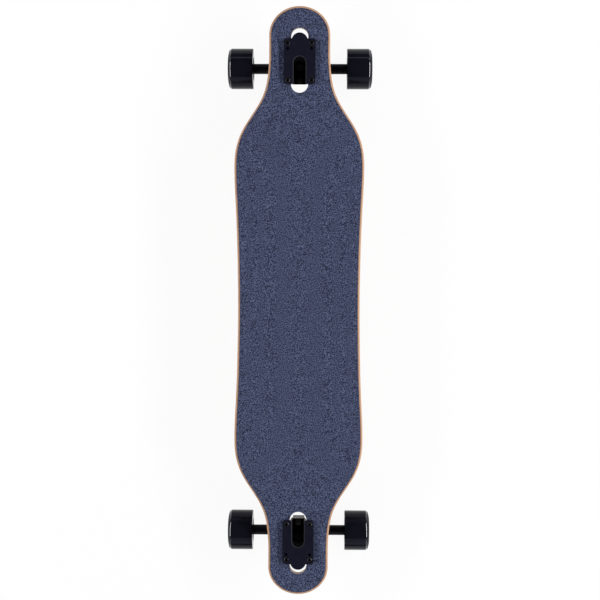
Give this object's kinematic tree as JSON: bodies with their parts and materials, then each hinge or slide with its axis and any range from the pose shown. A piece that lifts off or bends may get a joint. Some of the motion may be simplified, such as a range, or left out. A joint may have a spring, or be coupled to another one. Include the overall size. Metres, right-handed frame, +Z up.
{
  "type": "longboard skateboard",
  "caption": "Drop-through longboard with necked ends, dished maple deck, grip sheet, sprung steering trucks and wheels on ball bearings.",
  "frame": {"origin": "on the ground under the middle of the deck, at the lowest point of the wheels", "axes": "+Y along the deck towards the nose, +Z up from the ground, +X to the right of a person facing the nose"},
  "size_m": [0.254, 1.031, 0.1015],
  "materials": {
    "maple": "satin lacquer on the bare edge and underside",
    "grip": "coarse abrasive sheet",
    "cast_black": "cast, black semi-gloss coating",
    "black_steel": "black oxide",
    "zinc_steel": "zinc plated",
    "axle_steel": "ground",
    "bearing_steel": "polished",
    "bearing_shield": "satin",
    "spacer_aluminium": "turned",
    "cage_plastic": "moulded nylon",
    "core_plastic": "moulded",
    "urethane": "smooth cast urethane",
    "bushing": "satin cast urethane",
    "pivot_plastic": "moulded"
  },
  "bodies": {
    "board": {"deck": "maple", "grip_tape": "grip", "mounting_bolts": "black_steel", "mounting_nuts": "zinc_steel", "mounting_washers": "zinc_steel", "front_baseplate": "cast_black", "front_kingpin": "black_steel", "front_kingpin_nut": "zinc_steel", "front_boardside_cup_washer": "zinc_steel", "front_roadside_cup_washer": "zinc_steel", "front_boardside_bushing": "bushing", "front_roadside_bushing": "bushing", "front_pivot_cup": "pivot_plastic", "rear_baseplate": "cast_black", "rear_kingpin": "black_steel", "rear_kingpin_nut": "zinc_steel", "rear_boardside_cup_washer": "zinc_steel", "rear_roadside_cup_washer": "zinc_steel", "rear_boardside_bushing": "bushing", "rear_roadside_bushing": "bushing", "rear_pivot_cup": "pivot_plastic"},
    "front_truck": {"front_hanger": "cast_black", "front_axle": "axle_steel", "front_axle_nuts": "zinc_steel", "front_speed_washers": "zinc_steel", "front_bearing_spacers": "spacer_aluminium", "front_inner_races": "bearing_steel"},
    "front_left_wheel": {"front_left_tyre": "urethane", "front_left_core": "core_plastic", "front_left_outer_races": "bearing_steel", "front_left_bearing_shields": "bearing_shield"},
    "front_left_cages": {"front_left_bearing_balls": "bearing_steel", "front_left_ball_cages": "cage_plastic"},
    "front_right_wheel": {"front_right_tyre": "urethane", "front_right_core": "core_plastic", "front_right_outer_races": "bearing_steel", "front_right_bearing_shields": "bearing_shield"},
    "front_right_cages": {"front_right_bearing_balls": "bearing_steel", "front_right_ball_cages": "cage_plastic"},
    "rear_truck": {"rear_hanger": "cast_black", "rear_axle": "axle_steel", "rear_axle_nuts": "zinc_steel", "rear_speed_washers": "zinc_steel", "rear_bearing_spacers": "spacer_aluminium", "rear_inner_races": "bearing_steel"},
    "rear_left_wheel": {"rear_left_tyre": "urethane", "rear_left_core": "core_plastic", "rear_left_outer_races": "bearing_steel", "rear_left_bearing_shields": "bearing_shield"},
    "rear_left_cages": {"rear_left_bearing_balls": "bearing_steel", "rear_left_ball_cages": "cage_plastic"},
    "rear_right_wheel": {"rear_right_tyre": "urethane", "rear_right_core": "core_plastic", "rear_right_outer_races": "bearing_steel", "rear_right_bearing_shields": "bearing_shield"},
    "rear_right_cages": {"rear_right_bearing_balls": "bearing_steel", "rear_right_ball_cages": "cage_plastic"}
  },
  "joints": [
    {"name": "front_steer", "type": "hinge", "parent": "board", "child": "front_truck", "pos_m": [0, 0.43501, 0.06806], "axis": [0, 0.6428, 0.766], "range_deg": [-15, 15], "stiffness_Nm_per_rad": 40, "deforming": ["front_boardside_bushing", "front_roadside_bushing"]},
    {"name": "front_left_wheel_spin", "type": "hinge", "parent": "front_truck", "child": "front_left_wheel", "pos_m": [-0.103, 0.4133, 0.0355], "axis": [1, 0, 0], "continuous": true},
    {"name": "front_left_cage_spin", "type": "hinge", "parent": "front_truck", "child": "front_left_cages", "pos_m": [-0.103, 0.4133, 0.0355], "axis": [1, 0, 0], "continuous": true},
    {"name": "front_right_wheel_spin", "type": "hinge", "parent": "front_truck", "child": "front_right_wheel", "pos_m": [0.103, 0.4133, 0.0355], "axis": [1, 0, 0], "continuous": true},
    {"name": "front_right_cage_spin", "type": "hinge", "parent": "front_truck", "child": "front_right_cages", "pos_m": [0.103, 0.4133, 0.0355], "axis": [1, 0, 0], "continuous": true},
    {"name": "rear_steer", "type": "hinge", "parent": "board", "child": "rear_truck", "pos_m": [0, -0.43501, 0.06806], "axis": [0, -0.6428, 0.766], "range_deg": [-15, 15], "stiffness_Nm_per_rad": 40, "deforming": ["rear_boardside_bushing", "rear_roadside_bushing"]},
    {"name": "rear_left_wheel_spin", "type": "hinge", "parent": "rear_truck", "child": "rear_left_wheel", "pos_m": [-0.103, -0.4133, 0.0355], "axis": [1, 0, 0], "continuous": true},
    {"name": "rear_left_cage_spin", "type": "hinge", "parent": "rear_truck", "child": "rear_left_cages", "pos_m": [-0.103, -0.4133, 0.0355], "axis": [1, 0, 0], "continuous": true},
    {"name": "rear_right_wheel_spin", "type": "hinge", "parent": "rear_truck", "child": "rear_right_wheel", "pos_m": [0.103, -0.4133, 0.0355], "axis": [1, 0, 0], "continuous": true},
    {"name": "rear_right_cage_spin", "type": "hinge", "parent": "rear_truck", "child": "rear_right_cages", "pos_m": [0.103, -0.4133, 0.0355], "axis": [1, 0, 0], "continuous": true}
  ],
  "couplings": [
    {"joint": "front_left_cage_spin", "follows": "front_left_wheel_spin", "ratio": 0.63},
    {"joint": "front_right_cage_spin", "follows": "front_right_wheel_spin", "ratio": 0.63},
    {"joint": "rear_left_cage_spin", "follows": "rear_left_wheel_spin", "ratio": 0.63},
    {"joint": "rear_right_cage_spin", "follows": "rear_right_wheel_spin", "ratio": 0.63}
  ]
}
